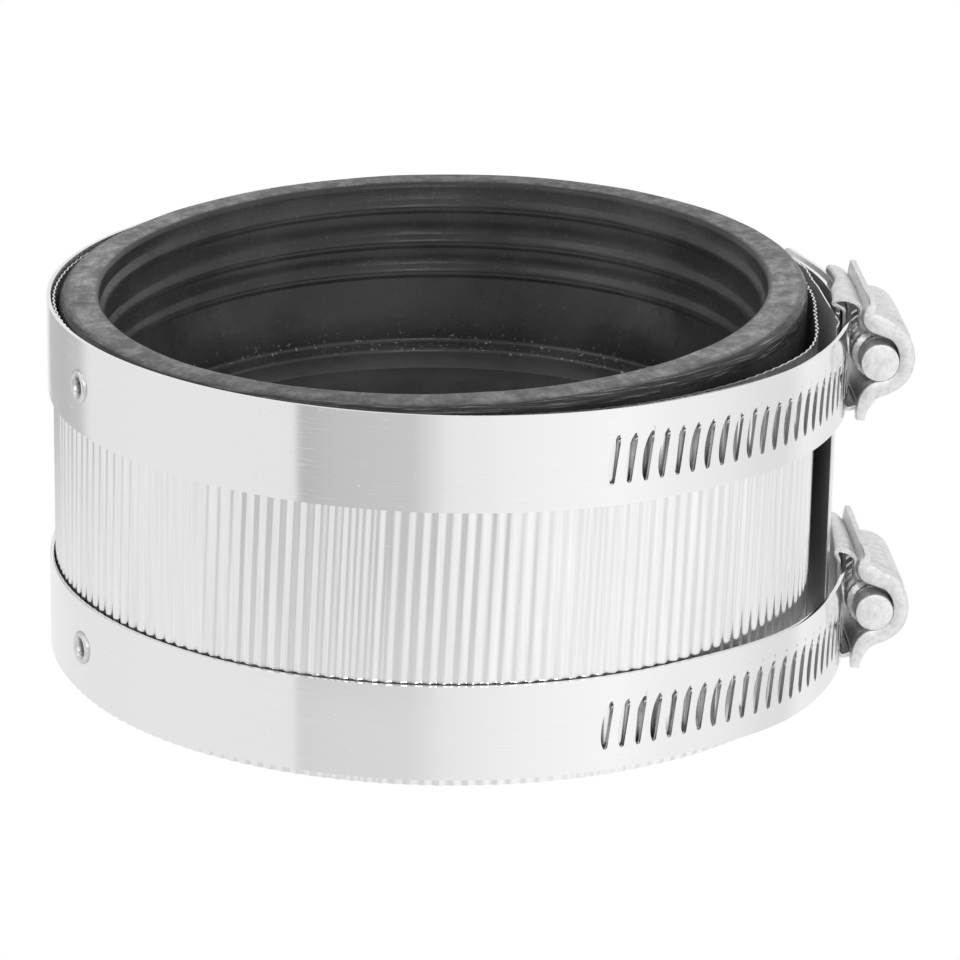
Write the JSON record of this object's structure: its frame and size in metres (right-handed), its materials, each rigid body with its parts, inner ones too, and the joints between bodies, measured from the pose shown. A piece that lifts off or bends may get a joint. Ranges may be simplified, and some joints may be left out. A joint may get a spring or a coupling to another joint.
{
  "type": "shielded pipe repair coupling",
  "caption": "Rubber pipe coupling sleeve in a corrugated stainless shield, tightened by slotted worm-drive band clamps.",
  "frame": {"origin": "bottom centre of the bounding box; the axis of the bands is 6.58 mm towards -X of it and the lower edge of the shield is at z = 0", "axes": "+Z along the pipe; +X towards the two worm heads; -Y towards the plain tips of the screws and +Y towards their hex heads"},
  "size_m": [0.1492, 0.136, 0.0658],
  "materials": {
    "black_rubber": "moulded, lightly dusted",
    "shield_steel": "rolled corrugated stainless sheet",
    "band_steel": "bright rolled stainless strip",
    "eyelet_steel": "set hollow rivet",
    "pressed_steel": "tumbled pressing, matt",
    "screw_steel": "tumbled, matt"
  },
  "bodies": {
    "jacket": {"corrugated_shield": "shield_steel", "upper_band": "band_steel", "upper_eyelet": "eyelet_steel", "lower_band": "band_steel", "lower_eyelet": "eyelet_steel"},
    "sleeve": {"rubber_sleeve": "black_rubber"},
    "upper_head": {"upper_housing": "pressed_steel", "upper_saddle": "pressed_steel"},
    "upper_worm": {"upper_screw": "screw_steel"},
    "lower_head": {"lower_housing": "pressed_steel", "lower_saddle": "pressed_steel"},
    "lower_worm": {"lower_screw": "screw_steel"}
  },
  "joints": [
    {"name": "sleeve_slide", "type": "slide", "parent": "jacket", "child": "sleeve", "axis": [0, 0, 1], "range_m": [0, 0.066]},
    {"name": "upper_take_up", "type": "hinge", "parent": "jacket", "child": "upper_head", "pos_m": [-0.00658, 0, 0.0547], "axis": [0, 0, 1], "range_deg": [-10, 8]},
    {"name": "upper_screw_turn", "type": "hinge", "parent": "upper_head", "child": "upper_worm", "pos_m": [0.06688, 0.00462, 0.0547], "axis": [-0.0628, 0.998, 0], "range_deg": [-1402, 1122]},
    {"name": "lower_take_up", "type": "hinge", "parent": "jacket", "child": "lower_head", "pos_m": [-0.00658, 0, 0.0094], "axis": [0, 0, 1], "range_deg": [-10, 8]},
    {"name": "lower_screw_turn", "type": "hinge", "parent": "lower_head", "child": "lower_worm", "pos_m": [0.06787, 0.00468, 0.0094], "axis": [-0.0628, 0.998, 0], "range_deg": [-1402, 1122]}
  ],
  "couplings": [
    {"joint": "upper_screw_turn", "follows": "upper_take_up", "ratio": 140.08},
    {"joint": "lower_screw_turn", "follows": "lower_take_up", "ratio": 140.08}
  ]
}
